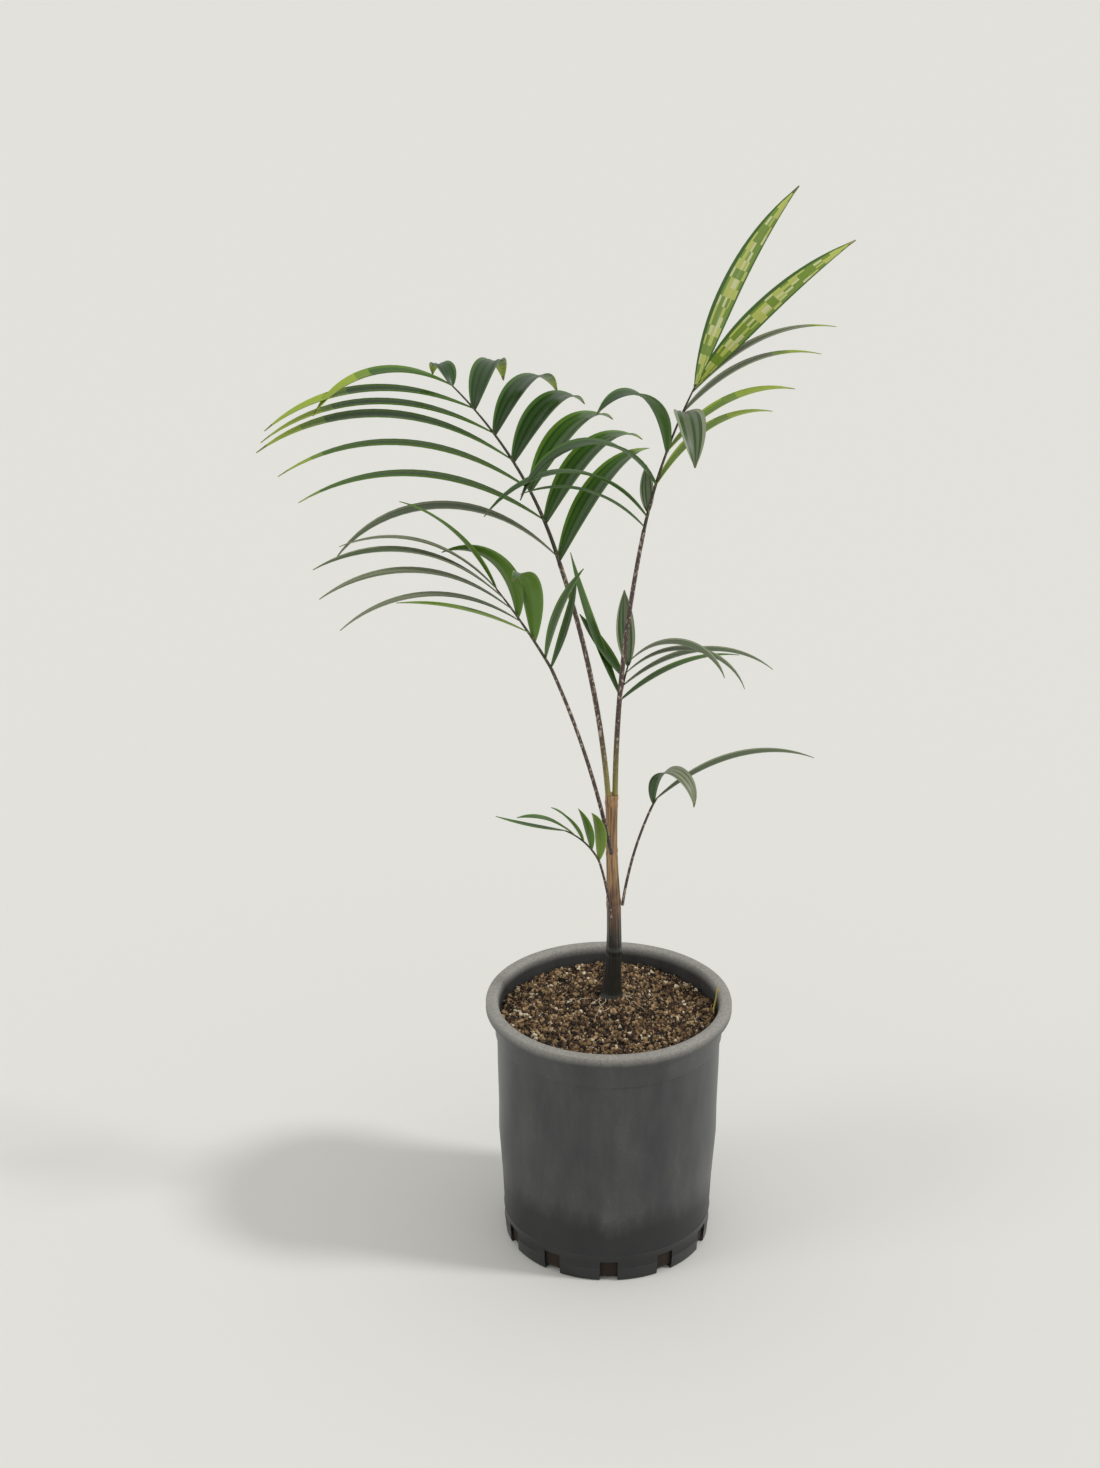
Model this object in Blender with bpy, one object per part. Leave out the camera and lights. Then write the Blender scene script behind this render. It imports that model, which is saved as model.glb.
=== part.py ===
"""Potted veitchia winin: a young palm with six fronds on one stem, in a black nursery pot.

The origin is the centre of the pot's flat underside. +Z is up, and -Y is the side that is seen from the
front. Lengths in the tables of sizes are millimetres, and angles are degrees.
"""

import math
import random
from dataclasses import dataclass, replace

import bmesh
import bpy
from mathutils import Matrix, Vector

MM = 0.001
GAP = 0.3
TINY = 1e-9

# Pot
POT_HEIGHT = 177.6
POT_BASE_RADIUS = 70.1
POT_BELLY_RADIUS = 74.2
POT_BELLY_HEIGHT = 100.0
POT_NECK_RADIUS = 75.0
COLLAR_HEIGHT = 153.2
COLLAR_RADIUS = 76.2
RIM_RADIUS = 82.5
RIM_DEPTH = 7.0
POT_WALL = 1.6
POT_FLOOR = 3.0
POT_EDGE = 1.2
COLLAR_STEP = 1.0
COLLAR_FLARE = 0.4
RIM_UNDER_EDGE = 0.8
RIM_TOP_EDGE = 1.0
MOUTH_FLARE = 2.2
MOUTH_BEVEL = 1.0
MOUTH_DEPTH = 6.0
POT_SIDES = 88
DRAIN_COUNT = 11
DRAIN_WIDTH = 12.0
DRAIN_HEIGHT = 15.0
DRAIN_REACH = 6.0

# Soil
SOIL_LEVEL = 165.0
SOIL_MOUND = 8.0
SOIL_MOUND_RADIUS = 46.0
SOIL_MOUND_FADE = 1.6
SOIL_HOLLOW = 6.0
SOIL_HOLLOW_PLACE = (46.0, 26.0)
SOIL_HOLLOW_RADIUS = 20.0
SOIL_LUMP = 0.7
SOIL_RINGS = 9
SOIL_SIDES = 44
SOIL_SEED = 11

# Stem: height above the ground and radius, from the root flare to the fork
STEM_FOOT = (1.8, 12.0)
STEM_TOP = (0.8, 12.2)
STEM_BOW = 2.6
STEM_BOW_RATE = 1.35
STEM_FOOT_PAD = 10.5
STEM_SIDES = 20
STEM_GIRTH = (
    (0.0, 8.8),
    (2.5, 7.6),
    (6.0, 6.9),
    (13.0, 6.0),
    (26.0, 5.3),
    (50.0, 4.9),
    (72.0, 4.8),
    (90.0, 4.2),
    (108.0, 3.8),
    (130.0, 3.9),
    (148.0, 4.3),
)

LIMB_SIDES = 8
PETIOLE_STEPS = 12
RIB_STEPS = 10
LEAFLET_STEPS = 9
LEAFLET_BEND = 1.3
LEAFLET_CROWDING = 0.9
LEAFLET_WIDEST = 0.42
LEAFLET_ROOT = 0.24
LEAFLET_FADE = 2.2
LEAFLET_TIP = 0.07
LEAFLET_EDGE = 0.3
KEEL_ROOT = 0.5
KEEL_TIP = 0.25
LEAFLET_THINNEST = 0.9
LEAFLET_SLENDERNESS = 95.0


@dataclass(frozen=True)
class Limb:
    """A tapering limb: its angles at the foot and the tip, and its radius at both."""

    length: float
    heading: float
    rise: float
    fall: float
    foot_radius: float
    tip_radius: float


@dataclass(frozen=True)
class Leaflet:
    """A leaflet: its share along the rib, its length, the way it leaves and ends, width and turn."""

    at: float
    length: float
    heading: float
    rise: float
    fall: float
    width: float
    turn: float = 0.0


@dataclass(frozen=True)
class Frond:
    """A frond: where its petiole starts, the petiole, the rib and the leaflets along it."""

    name: str
    start: tuple
    petiole: Limb
    rib: Limb
    leaflets: tuple


def mix(a, b, share):
    """The value a share of the way from a to b."""
    return a + (b - a) * share


def fan(count, *keys):
    """Leaflets from the first key to the last, closer together towards the rib's tip."""
    made = []
    for index in range(count):
        share = (index / (count - 1)) ** LEAFLET_CROWDING
        at = mix(keys[0].at, keys[-1].at, share)
        lower = max(i for i in range(len(keys) - 1) if keys[i].at <= at + TINY)
        low, high = keys[lower], keys[lower + 1]
        part = (at - low.at) / (high.at - low.at)
        sizes = ("length", "heading", "rise", "fall", "width", "turn")
        values = {size: mix(getattr(low, size), getattr(high, size), part) for size in sizes}
        made.append(replace(low, at=at, **values))
    return tuple(made)


UPPER_LEFT = Frond(
    "upper_left",
    (-1.5, 10.2, 321.6),
    Limb(166, 195, 85, 72, 1.8, 1.45),
    Limb(136, 193, 74, 47, 1.3, 0.5),
    fan(
        7,
        Leaflet(0.03, 160, 191, 46, -54, 12),
        Leaflet(0.21, 162, 193, 36, -28, 15),
        Leaflet(0.55, 168, 194, 36, -34, 13),
        Leaflet(0.86, 134, 195, 25, -38, 12),
        Leaflet(1.00, 96, 197, 30, -58, 13),
    )
    + fan(
        7,
        Leaflet(0.01, 122, 56, 52, -12, 16),
        Leaflet(0.22, 124, 55, 50, -34, 18),
        Leaflet(0.45, 106, 60, 45, -32, 18),
        Leaflet(0.74, 92, 62, 52, -58, 16),
        Leaflet(0.90, 62, 76, 72, -85, 15),
        Leaflet(1.00, 34, 120, 64, -80, 12),
    ),
)
LOWER_LEFT = Frond(
    "lower_left",
    (1.0, 6.5, 281.0),
    Limb(146, 209, 78, 66, 1.4, 1.1),
    Limb(70, 206, 61, 54, 1.0, 0.5),
    (
        Leaflet(0.01, 62, 29, 64, 84, 8),
        Leaflet(0.12, 63, 18, 79, 50, 12),
        Leaflet(0.34, 90, -104, 92, -12, 14),
        Leaflet(0.64, 77, 190, 92, -20, 13, 50),
        Leaflet(1.00, 92, 206, 64, 22, 11),
    )
    + fan(
        4,
        Leaflet(0.58, 127, 203, 37, -36, 9),
        Leaflet(0.84, 142, 205, 45, -24, 9),
        Leaflet(1.00, 114, 203, 50, -15, 9),
    )
    + (Leaflet(0.45, 99, 211, 32, 8, 10),),
)
UPPER_RIGHT = Frond(
    "upper_right",
    (3.1, 11.8, 321.6),
    Limb(184, -26, 90, 79, 1.9, 1.3),
    Limb(100, -14, 79, 65, 1.1, 0.5),
    (
        Leaflet(0.30, 93, 19, 58, -12, 10),
        Leaflet(0.53, 94, 16, 49, -13, 10),
        Leaflet(0.80, 98, 14, 46, -15, 11),
        Leaflet(0.94, 102, 14, 46, -11, 11),
        Leaflet(0.98, 134, 22, 47, 25, 14, 35),
        Leaflet(1.00, 134, 27, 72, 42, 15, 25),
        Leaflet(0.02, 95, 205, 47, -13, 9),
        Leaflet(0.09, 139, 215, 51, -43, 10),
        Leaflet(0.31, 123, 213, 57, -67, 13),
        Leaflet(0.53, 88, 223, 86, -44, 15),
        Leaflet(0.80, 64, -84, 25, -82, 18),
        Leaflet(0.12, 30, 100, 60, 95, 9),
    ),
)
MIDDLE_RIGHT = Frond(
    "middle_right",
    (2.8, 15.6, 321.6),
    Limb(60, 50, 87, 85, 1.1, 0.95),
    Limb(29, 52, 78, 61, 0.9, 0.5),
    fan(
        4,
        Leaflet(0.10, 87, 16, 37, -12, 8),
        Leaflet(0.38, 109, 5, 40, -34, 8),
        Leaflet(0.68, 96, -10, 46, -70, 7),
        Leaflet(1.00, 78, -21, 48, -69, 9),
    )
    + (
        Leaflet(0.18, 99, 140, 58, 73, 8),
        Leaflet(0.60, 51, 147, 46, 49, 10),
        Leaflet(0.90, 50, 109, 69, 95, 13),
    ),
)
LOW_RIGHT = Frond(
    "low_right",
    (8.8, 11.6, 241.0),
    Limb(77, -23, 83, 68, 1.0, 0.8),
    Limb(8, -23, 66, 60, 0.8, 0.6),
    (
        Leaflet(0.45, 68, -49, 96, -98, 13),
        Leaflet(1.00, 112, 8, 40, -24, 8),
    ),
)
LOW_LEFT = Frond(
    "low_left",
    (1.2, 6.2, 234.0),
    Limb(47, 225, 82, 69, 1.0, 0.8),
    Limb(37, 204, 65, 30, 0.75, 0.45),
    fan(
        5,
        Leaflet(0.03, 40, 235, 104, 42, 9),
        Leaflet(0.27, 36, 231, 84, 55, 8),
        Leaflet(0.56, 40, 212, 65, 30, 8),
        Leaflet(0.79, 53, 215, 45, 4, 7),
        Leaflet(1.00, 59, 215, 20, 30, 6),
    ),
)
FRONDS = (UPPER_LEFT, LOWER_LEFT, UPPER_RIGHT, MIDDLE_RIGHT, LOW_RIGHT, LOW_LEFT)


def clear_scene():
    """Removes every object that is in the scene."""
    for thing in list(bpy.data.objects):
        bpy.data.objects.remove(thing, do_unlink=True)


def linear(channel):
    """A linear value for one sRGB channel from 0 to 1."""
    if channel <= 0.04045:
        return channel / 12.92
    return ((channel + 0.055) / 1.055) ** 2.4


def finish(name, hex_colour, roughness):
    """A material with the colour and roughness of one kind of piece."""
    made = bpy.data.materials.new(name)
    made.use_nodes = True
    shader = made.node_tree.nodes["Principled BSDF"]
    channels = [int(hex_colour[i : i + 2], 16) / 255 for i in (0, 2, 4)]
    shader.inputs["Base Color"].default_value = (*map(linear, channels), 1.0)
    shader.inputs["Roughness"].default_value = roughness
    shader.inputs["Metallic"].default_value = 0.0
    return made


def add_object(name, mesh, material):
    """An object of this mesh and material in the scene's collection."""
    made = bpy.data.objects.new(name, mesh)
    made.data.materials.append(material)
    bpy.context.scene.collection.objects.link(made)
    return made


def skin(rings, name, material):
    """A closed solid through rings of equal count, each a list of points in millimetres."""
    bm = bmesh.new()
    rows = [[bm.verts.new(Vector(point) * MM) for point in ring] for ring in rings]
    for low, high in zip(rows, rows[1:]):
        for i in range(len(low)):
            j = (i + 1) % len(low)
            bm.faces.new((low[i], low[j], high[j], high[i]))
    bm.faces.new(list(reversed(rows[0])))
    bm.faces.new(rows[-1])
    bmesh.ops.recalc_face_normals(bm, faces=bm.faces)
    mesh = bpy.data.meshes.new(name)
    bm.to_mesh(mesh)
    bm.free()
    return add_object(name, mesh, material)


def direction(heading, climb):
    """The unit vector of a heading in plan and a climb above level, in degrees."""
    plan = math.radians(heading)
    up = math.radians(climb)
    return Vector((math.cos(up) * math.cos(plan), math.cos(up) * math.sin(plan), math.sin(up)))


def arching_path(start, size, steps, bend=1.0):
    """Points and directions along a limb or leaflet whose climb turns from its rise to its fall."""
    points = [Vector(start)]
    ways = [direction(size.heading, size.rise)]
    for step in range(steps):
        middle = mix(size.rise, size.fall, ((step + 0.5) / steps) ** bend)
        end = mix(size.rise, size.fall, ((step + 1) / steps) ** bend)
        points.append(points[-1] + direction(size.heading, middle) * (size.length / steps))
        ways.append(direction(size.heading, end))
    return points, ways


def level_side(heading):
    """The level direction across a heading, to its right."""
    plan = math.radians(heading)
    return Vector((math.sin(plan), -math.cos(plan), 0.0))


def limb_solid(name, start, limb, steps, material):
    """A tapering round limb, and the points along its middle."""
    points, ways = arching_path(start, limb, steps)
    side = level_side(limb.heading)
    rings = []
    for index, (point, way) in enumerate(zip(points, ways)):
        radius = mix(limb.foot_radius, limb.tip_radius, index / steps)
        across = side.cross(way)
        ring = []
        for corner in range(LIMB_SIDES):
            angle = 2 * math.pi * corner / LIMB_SIDES
            ring.append(point + (side * math.cos(angle) + across * math.sin(angle)) * radius)
        rings.append(ring)
    return skin(rings, name, material), points


def blade_share(share):
    """A blade's width at a share of its length, against its widest."""
    if share < LEAFLET_WIDEST:
        swell = math.sin(math.pi / 2 * share / LEAFLET_WIDEST)
        return mix(LEAFLET_ROOT, 1.0, swell)
    fade = (share - LEAFLET_WIDEST) / (1 - LEAFLET_WIDEST)
    return max(1 - fade**LEAFLET_FADE, LEAFLET_TIP)


def leaflet_solid(name, root, leaflet, material):
    """A thin blade with a keel above and below its middle line."""
    points, ways = arching_path(root, leaflet, LEAFLET_STEPS, LEAFLET_BEND)
    thickness = max(leaflet.length / LEAFLET_SLENDERNESS, LEAFLET_THINNEST)
    rings = []
    for index, (point, way) in enumerate(zip(points, ways)):
        share = index / LEAFLET_STEPS
        turn = Matrix.Rotation(math.radians(leaflet.turn), 3, way)
        side = turn @ level_side(leaflet.heading)
        keel = side.cross(way) * thickness * mix(KEEL_ROOT, KEEL_TIP, share)
        half = side * max(leaflet.width * blade_share(share) / 2, thickness * LEAFLET_EDGE)
        rings.append([point + half, point + keel, point - half, point - keel])
    return skin(rings, name, material)


def fuse(body, pieces):
    """Joins the pieces to the body with one Boolean union and removes them."""
    group = bpy.data.collections.new(body.name + "_pieces")
    bpy.context.scene.collection.children.link(group)
    for piece in pieces:
        bpy.context.scene.collection.objects.unlink(piece)
        group.objects.link(piece)
    union = body.modifiers.new("union", "BOOLEAN")
    union.operation = "UNION"
    union.operand_type = "COLLECTION"
    union.collection = group
    union.solver = "EXACT"
    bpy.context.view_layer.objects.active = body
    bpy.ops.object.modifier_apply(modifier=union.name)
    for piece in pieces:
        bpy.data.objects.remove(piece, do_unlink=True)
    bpy.data.collections.remove(group)


def along(points, share):
    """The point at a share of the way along a list of points."""
    place = share * (len(points) - 1)
    index = min(int(place), len(points) - 2)
    return points[index].lerp(points[index + 1], place - index)


def build_frond(frond, petiole_material, leaf_material):
    """A petiole, and the frond that starts just clear of its tip."""
    _, path = limb_solid(
        "petiole_" + frond.name, frond.start, frond.petiole, PETIOLE_STEPS, petiole_material
    )
    foot = path[-1] + direction(frond.petiole.heading, frond.petiole.fall) * GAP
    name = "frond_" + frond.name
    rib, ribs_path = limb_solid(name, foot, frond.rib, RIB_STEPS, leaf_material)
    blades = []
    for number, leaflet in enumerate(frond.leaflets):
        root = along(ribs_path, leaflet.at)
        blades.append(leaflet_solid(f"{name}_leaflet_{number}", root, leaflet, leaf_material))
    fuse(rib, blades)


def stem_axis(share):
    """The middle of the stem at a share of its height, which bows to the right and back."""
    bow = STEM_BOW * math.sin(math.pi * min(share * STEM_BOW_RATE, 1.0)) * (1 - share)
    x = mix(STEM_FOOT[0], STEM_TOP[0], share) + bow
    return x, mix(STEM_FOOT[1], STEM_TOP[1], share)


def build_stem(material):
    """The stem, from a flat cut on the soil through its root flare to the fork."""
    foot = SOIL_LEVEL + SOIL_MOUND + GAP
    height = STEM_GIRTH[-1][0]
    rings = []
    for rise, radius in STEM_GIRTH:
        x, y = stem_axis(rise / height)
        ring = []
        for corner in range(STEM_SIDES):
            angle = 2 * math.pi * corner / STEM_SIDES
            ring.append((x + radius * math.cos(angle), y + radius * math.sin(angle), foot + rise))
        rings.append(ring)
    skin(rings, "stem", material)


def inner_radius(height):
    """The radius of the pot's inner wall at a height."""
    if height < POT_BELLY_HEIGHT:
        return mix(POT_BASE_RADIUS, POT_BELLY_RADIUS, height / POT_BELLY_HEIGHT) - POT_WALL
    share = (height - POT_BELLY_HEIGHT) / (COLLAR_HEIGHT - POT_BELLY_HEIGHT)
    return mix(POT_BELLY_RADIUS, POT_NECK_RADIUS, min(share, 1.0)) - POT_WALL


def pot_profile():
    """Radius and height of the pot's wall, up the outside, over the rim and down the inside."""
    lip = POT_HEIGHT - RIM_DEPTH
    mouth = inner_radius(POT_HEIGHT)
    return (
        (POT_BASE_RADIUS - POT_EDGE, 0.0),
        (POT_BASE_RADIUS, POT_EDGE),
        (POT_BELLY_RADIUS, POT_BELLY_HEIGHT),
        (POT_NECK_RADIUS, COLLAR_HEIGHT - COLLAR_STEP),
        (COLLAR_RADIUS, COLLAR_HEIGHT),
        (COLLAR_RADIUS + COLLAR_FLARE, lip),
        (RIM_RADIUS - RIM_UNDER_EDGE, lip),
        (RIM_RADIUS, lip + RIM_UNDER_EDGE),
        (RIM_RADIUS, POT_HEIGHT - RIM_TOP_EDGE),
        (RIM_RADIUS - RIM_TOP_EDGE, POT_HEIGHT),
        (mouth + MOUTH_FLARE, POT_HEIGHT),
        (mouth + MOUTH_FLARE - MOUTH_BEVEL, POT_HEIGHT - MOUTH_BEVEL),
        (mouth, POT_HEIGHT - MOUTH_DEPTH),
        (inner_radius(POT_BELLY_HEIGHT), POT_BELLY_HEIGHT),
        (inner_radius(POT_FLOOR), POT_FLOOR),
    )


def drain_cutter():
    """One block for each drain slot, across the corner of the wall and the floor."""
    bm = bmesh.new()
    size = Vector((DRAIN_REACH * 2, DRAIN_WIDTH, DRAIN_HEIGHT * 2)) * MM
    for number in range(DRAIN_COUNT):
        turn = Matrix.Rotation(2 * math.pi * number / DRAIN_COUNT - math.pi / 2, 4, "Z")
        place = Matrix.Translation(Vector((POT_BASE_RADIUS, 0.0, 0.0)) * MM)
        stretch = Matrix.Diagonal((*size, 1.0))
        bmesh.ops.create_cube(bm, size=1.0, matrix=turn @ place @ stretch)
    mesh = bpy.data.meshes.new("drain_cutter")
    bm.to_mesh(mesh)
    bm.free()
    cutter = bpy.data.objects.new("drain_cutter", mesh)
    bpy.context.scene.collection.objects.link(cutter)
    cutter.hide_render = True
    cutter.display_type = "WIRE"
    return cutter


def build_pot(material):
    """The turned pot with its rolled rim, its collar and its drain slots."""
    rings = []
    for radius, height in pot_profile():
        ring = []
        for side in range(POT_SIDES):
            angle = 2 * math.pi * (side + 0.5) / POT_SIDES
            ring.append((radius * math.cos(angle), radius * math.sin(angle), height))
        rings.append(ring)
    pot = skin(rings, "pot", material)
    slots = pot.modifiers.new("drain_slots", "BOOLEAN")
    slots.operation = "DIFFERENCE"
    slots.solver = "EXACT"
    slots.object = drain_cutter()
    return pot


def soil_height(x, y, lump):
    """The height of the soil's surface, a low mound with one hollow behind it."""
    away = math.hypot(x - STEM_FOOT[0], y - STEM_FOOT[1])
    if away < STEM_FOOT_PAD:
        return SOIL_LEVEL + SOIL_MOUND
    slope = (away - STEM_FOOT_PAD) / (SOIL_MOUND_RADIUS - STEM_FOOT_PAD)
    mound = SOIL_MOUND * math.exp(-SOIL_MOUND_FADE * slope * slope)
    hollow_x, hollow_y = SOIL_HOLLOW_PLACE
    from_hollow = math.hypot(x - hollow_x, y - hollow_y) / SOIL_HOLLOW_RADIUS
    hollow = SOIL_HOLLOW * math.exp(-from_hollow * from_hollow)
    return SOIL_LEVEL + mound - hollow + lump


def build_soil(material):
    """The potting mix, a plug that stays just clear of the pot's wall and floor."""
    draw = random.Random(SOIL_SEED)
    edge = inner_radius(SOIL_LEVEL) - GAP
    rings = []
    for height in (POT_FLOOR + GAP, POT_BELLY_HEIGHT):
        rings.append([(inner_radius(height) - GAP, height)] * SOIL_SIDES)
    rings.append([(edge, SOIL_LEVEL - SOIL_LUMP - SOIL_HOLLOW)] * SOIL_SIDES)
    solid = []
    for ring in rings:
        points = []
        for side, (radius, height) in enumerate(ring):
            angle = 2 * math.pi * side / SOIL_SIDES
            points.append((radius * math.cos(angle), radius * math.sin(angle), height))
        solid.append(points)
    for number in range(SOIL_RINGS):
        share = number / (SOIL_RINGS - 1)
        points = []
        for side in range(SOIL_SIDES):
            angle = 2 * math.pi * side / SOIL_SIDES
            radius = mix(edge - GAP, STEM_FOOT_PAD, share)
            x = radius * math.cos(angle) + STEM_FOOT[0] * share
            y = radius * math.sin(angle) + STEM_FOOT[1] * share
            lump = 0.0 if number == SOIL_RINGS - 1 else draw.uniform(-SOIL_LUMP, SOIL_LUMP)
            points.append((x, y, soil_height(x, y, lump)))
        solid.append(points)
    solid[-1] = [(x, y, SOIL_LEVEL + SOIL_MOUND) for x, y, _ in solid[-1]]
    skin(solid, "soil", material)


def main():
    """Builds the pot, the soil, the stem, and each petiole with its frond."""
    clear_scene()
    build_pot(finish("recycled_polypropylene", "3c3f42", 0.5))
    build_soil(finish("potting_mix", "7a6046", 0.95))
    build_stem(finish("leaf_sheath", "6b4a33", 0.5))
    petiole = finish("petiole_bark", "5a463c", 0.55)
    leaf = finish("palm_leaf", "2f5a24", 0.45)
    for frond in FRONDS:
        build_frond(frond, petiole, leaf)


main()
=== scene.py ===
"""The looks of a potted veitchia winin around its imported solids: pot, mix, stem, petioles and fronds."""

import logging
import math
from dataclasses import dataclass, field, replace
from enum import Enum

import bpy
import numpy as np
from mathutils import Euler, Matrix, Vector, noise


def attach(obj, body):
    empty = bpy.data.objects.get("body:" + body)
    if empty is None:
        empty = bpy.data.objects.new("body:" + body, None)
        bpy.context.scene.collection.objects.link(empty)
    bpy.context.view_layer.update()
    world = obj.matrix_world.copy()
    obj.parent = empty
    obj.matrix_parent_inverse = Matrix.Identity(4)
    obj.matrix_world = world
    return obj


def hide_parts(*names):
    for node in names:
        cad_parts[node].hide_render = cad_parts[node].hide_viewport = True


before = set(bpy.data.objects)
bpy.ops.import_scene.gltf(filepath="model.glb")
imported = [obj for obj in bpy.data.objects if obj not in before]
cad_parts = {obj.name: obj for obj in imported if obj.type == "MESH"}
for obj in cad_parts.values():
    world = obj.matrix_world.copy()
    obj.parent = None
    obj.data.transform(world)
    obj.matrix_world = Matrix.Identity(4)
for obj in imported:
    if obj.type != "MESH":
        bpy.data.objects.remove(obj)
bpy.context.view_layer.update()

LOG = logging.getLogger("palm")

# Shapes are in millimetres and degrees. Materials and the studio are in metres, but for names in _mm
MM = 0.001
GAP = 0.3
TINY = 1e-9
MERGE = 0.000001
LEAFLET_BEND = 1.3
LEAFLET_CROWDING = 0.9
TUBE_RESOLUTION = 5
TUBE_SMOOTH = 50.0

Colour = tuple[float, float, float, float]
Ring = tuple[float, float]
Rings = tuple[Ring, ...]


def linear_colour(hex_colour: str) -> Colour:
    """Turns an sRGB hex colour to a linear one.

    Args:
        hex_colour: Six hex digits, with no mark before them.

    Returns:
        Red, green and blue in linear light, and an alpha of one.
    """
    values = [int(hex_colour[i : i + 2], 16) / 255 for i in (0, 2, 4)]
    turned = [v / 12.92 if v <= 0.04045 else ((v + 0.055) / 1.055) ** 2.4 for v in values]
    return (turned[0], turned[1], turned[2], 1.0)


def add_node(
    tree: bpy.types.NodeTree, kind: str, settings: dict[str, object] | None = None, **inputs: object
) -> bpy.types.Node:
    """Adds one shader node with its settings, values and links.

    Args:
        tree: The material's node tree.
        kind: The node's type name, without its ShaderNode prefix.
        settings: Properties of the node itself.
        **inputs: Values or sockets, by the input's name with _ for each space, or by _ and its number.

    Returns:
        The new node.
    """
    made = tree.nodes.new("ShaderNode" + kind)
    for key, value in (settings or {}).items():
        setattr(made, key, value)
    for key, value in inputs.items():
        name = key.replace("_", " ")
        socket = made.inputs[int(key[1:])] if key[1:].isdigit() else made.inputs[name]
        if isinstance(value, bpy.types.NodeSocket):
            tree.links.new(value, socket)
        else:
            socket.default_value = value
    return made


def mix(low: float, high: float, share: float) -> float:
    """The value a share of the way from low to high."""
    return low + (high - low) * share


def deselect() -> None:
    """Leaves edit mode and deselects every object."""
    if bpy.context.object and bpy.context.object.mode != "OBJECT":
        bpy.ops.object.mode_set(mode="OBJECT")
    bpy.ops.object.select_all(action="DESELECT")


def select_only(made: bpy.types.Object) -> None:
    """Makes one object the only one that is selected, and the active one.

    Args:
        made: The object.
    """
    deselect()
    made.select_set(True)
    bpy.context.view_layer.objects.active = made


@dataclass(frozen=True)
class Surface:
    """A material's nodes and its shader, with the patterns that the finishes share."""

    tree: bpy.types.NodeTree
    shader: bpy.types.Node

    def node(
        self, kind: str, output: str | int, settings: dict[str, object] | None = None, **inputs: object
    ) -> bpy.types.NodeSocket:
        """Adds a node and gives one of its outputs."""
        return add_node(self.tree, kind, settings, **inputs).outputs[output]

    def height(self) -> bpy.types.NodeSocket:
        """The height on the object, in metres."""
        return self.node("SeparateXYZ", "Z", Vector=self.node("TexCoord", "Object"))

    def grain(self, size: float, flattening: float = 1.0, **settings: float) -> bpy.types.NodeSocket:
        """A noise with grains of one size.

        Args:
            size: The grains' size in millimetres.
            flattening: How much it is drawn out upwards: the less, the longer its grains.
            **settings: The noise node's other values.

        Returns:
            The noise, from 0 to 1.
        """
        place = self.node("TexCoord", "Object")
        stretched = self.node("Mapping", "Vector", Vector=place, Scale=(1.0, 1.0, flattening))
        return self.node("TexNoise", "Fac", Vector=stretched, Scale=1 / (size * MM), **settings)

    def remap(
        self, value: bpy.types.NodeSocket, start: float, end: float, low: float = 0.0, high: float = 1.0
    ) -> bpy.types.NodeSocket:
        """Turns a value between start and end to one between low and high."""
        return self.node(
            "MapRange", "Result", Value=value, From_Min=start, From_Max=end, To_Min=low, To_Max=high
        )

    def maths(self, operation: str, *values: object) -> bpy.types.NodeSocket:
        """Adds or multiplies values."""
        inputs = {f"_{number}": value for number, value in enumerate(values)}
        return self.node("Math", 0, {"operation": operation}, **inputs)

    def blend(self, share: object, low: object, high: object, way: str = "MIX") -> bpy.types.NodeSocket:
        """Blends two colours by a share."""
        return self.node("Mix", 2, {"data_type": "RGBA", "blend_type": way}, _0=share, _6=low, _7=high)

    def ramp(self, value: bpy.types.NodeSocket, *stops: tuple[float, str]) -> bpy.types.NodeSocket:
        """Turns a value to a colour.

        Args:
            value: The value, from 0 to 1.
            *stops: A position and a colour each, in order.

        Returns:
            The colour.
        """
        made = add_node(self.tree, "ValToRGB", Fac=value)
        elements = made.color_ramp.elements
        elements[0].position = stops[0][0]
        elements[1].position = stops[-1][0]
        for position, _ in stops[1:-1]:
            elements.new(position)
        for element, (_, colour) in zip(elements, stops):
            element.color = linear_colour(colour)
        return made.outputs["Color"]

    def feed(self, name: str, value: bpy.types.NodeSocket) -> None:
        """Links a value to one of the shader's sockets."""
        self.tree.links.new(value, self.shader.inputs[name])

    def bump(self, strength: float, depth: float, height: bpy.types.NodeSocket) -> None:
        """Raises the surface by a pattern, to a depth in metres."""
        self.feed("Normal", self.node("Bump", "Normal", Strength=strength, Distance=depth, Height=height))


@dataclass(frozen=True)
class Finish:
    """A finish: the name of the real material, its colour and how it shines."""

    name: str
    colour: str
    roughness: float
    coat: float = 0.0

    def material(self) -> bpy.types.Material:
        """Makes the material, once for each name.

        Returns:
            The material.
        """
        made = bpy.data.materials.get(self.name)
        if made is None:
            made = bpy.data.materials.new(self.name)
            made.use_nodes = True
            shader = made.node_tree.nodes["Principled BSDF"]
            shader.inputs["Base Color"].default_value = linear_colour(self.colour)
            shader.inputs["Roughness"].default_value = self.roughness
            shader.inputs["Coat Weight"].default_value = self.coat
            self.dress(Surface(made.node_tree, shader))
        return made

    def dress(self, surface: Surface) -> None:
        """Adds the detail of a plain finish, which has none."""


@dataclass(frozen=True)
class LeafBlade(Finish):
    """A palm leaflet, waxy and ribbed: the wax gives soft highlights, and its grain breaks them up."""

    grain_mm: float = 6.4
    relief: tuple[float, float] = (0.25, 0.0002)

    def dress(self, surface: Surface) -> None:
        """Breaks the wax's shine with a soft bump of the leaf's own grain."""
        surface.bump(*self.relief, surface.grain(self.grain_mm, Detail=2.0))


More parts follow.
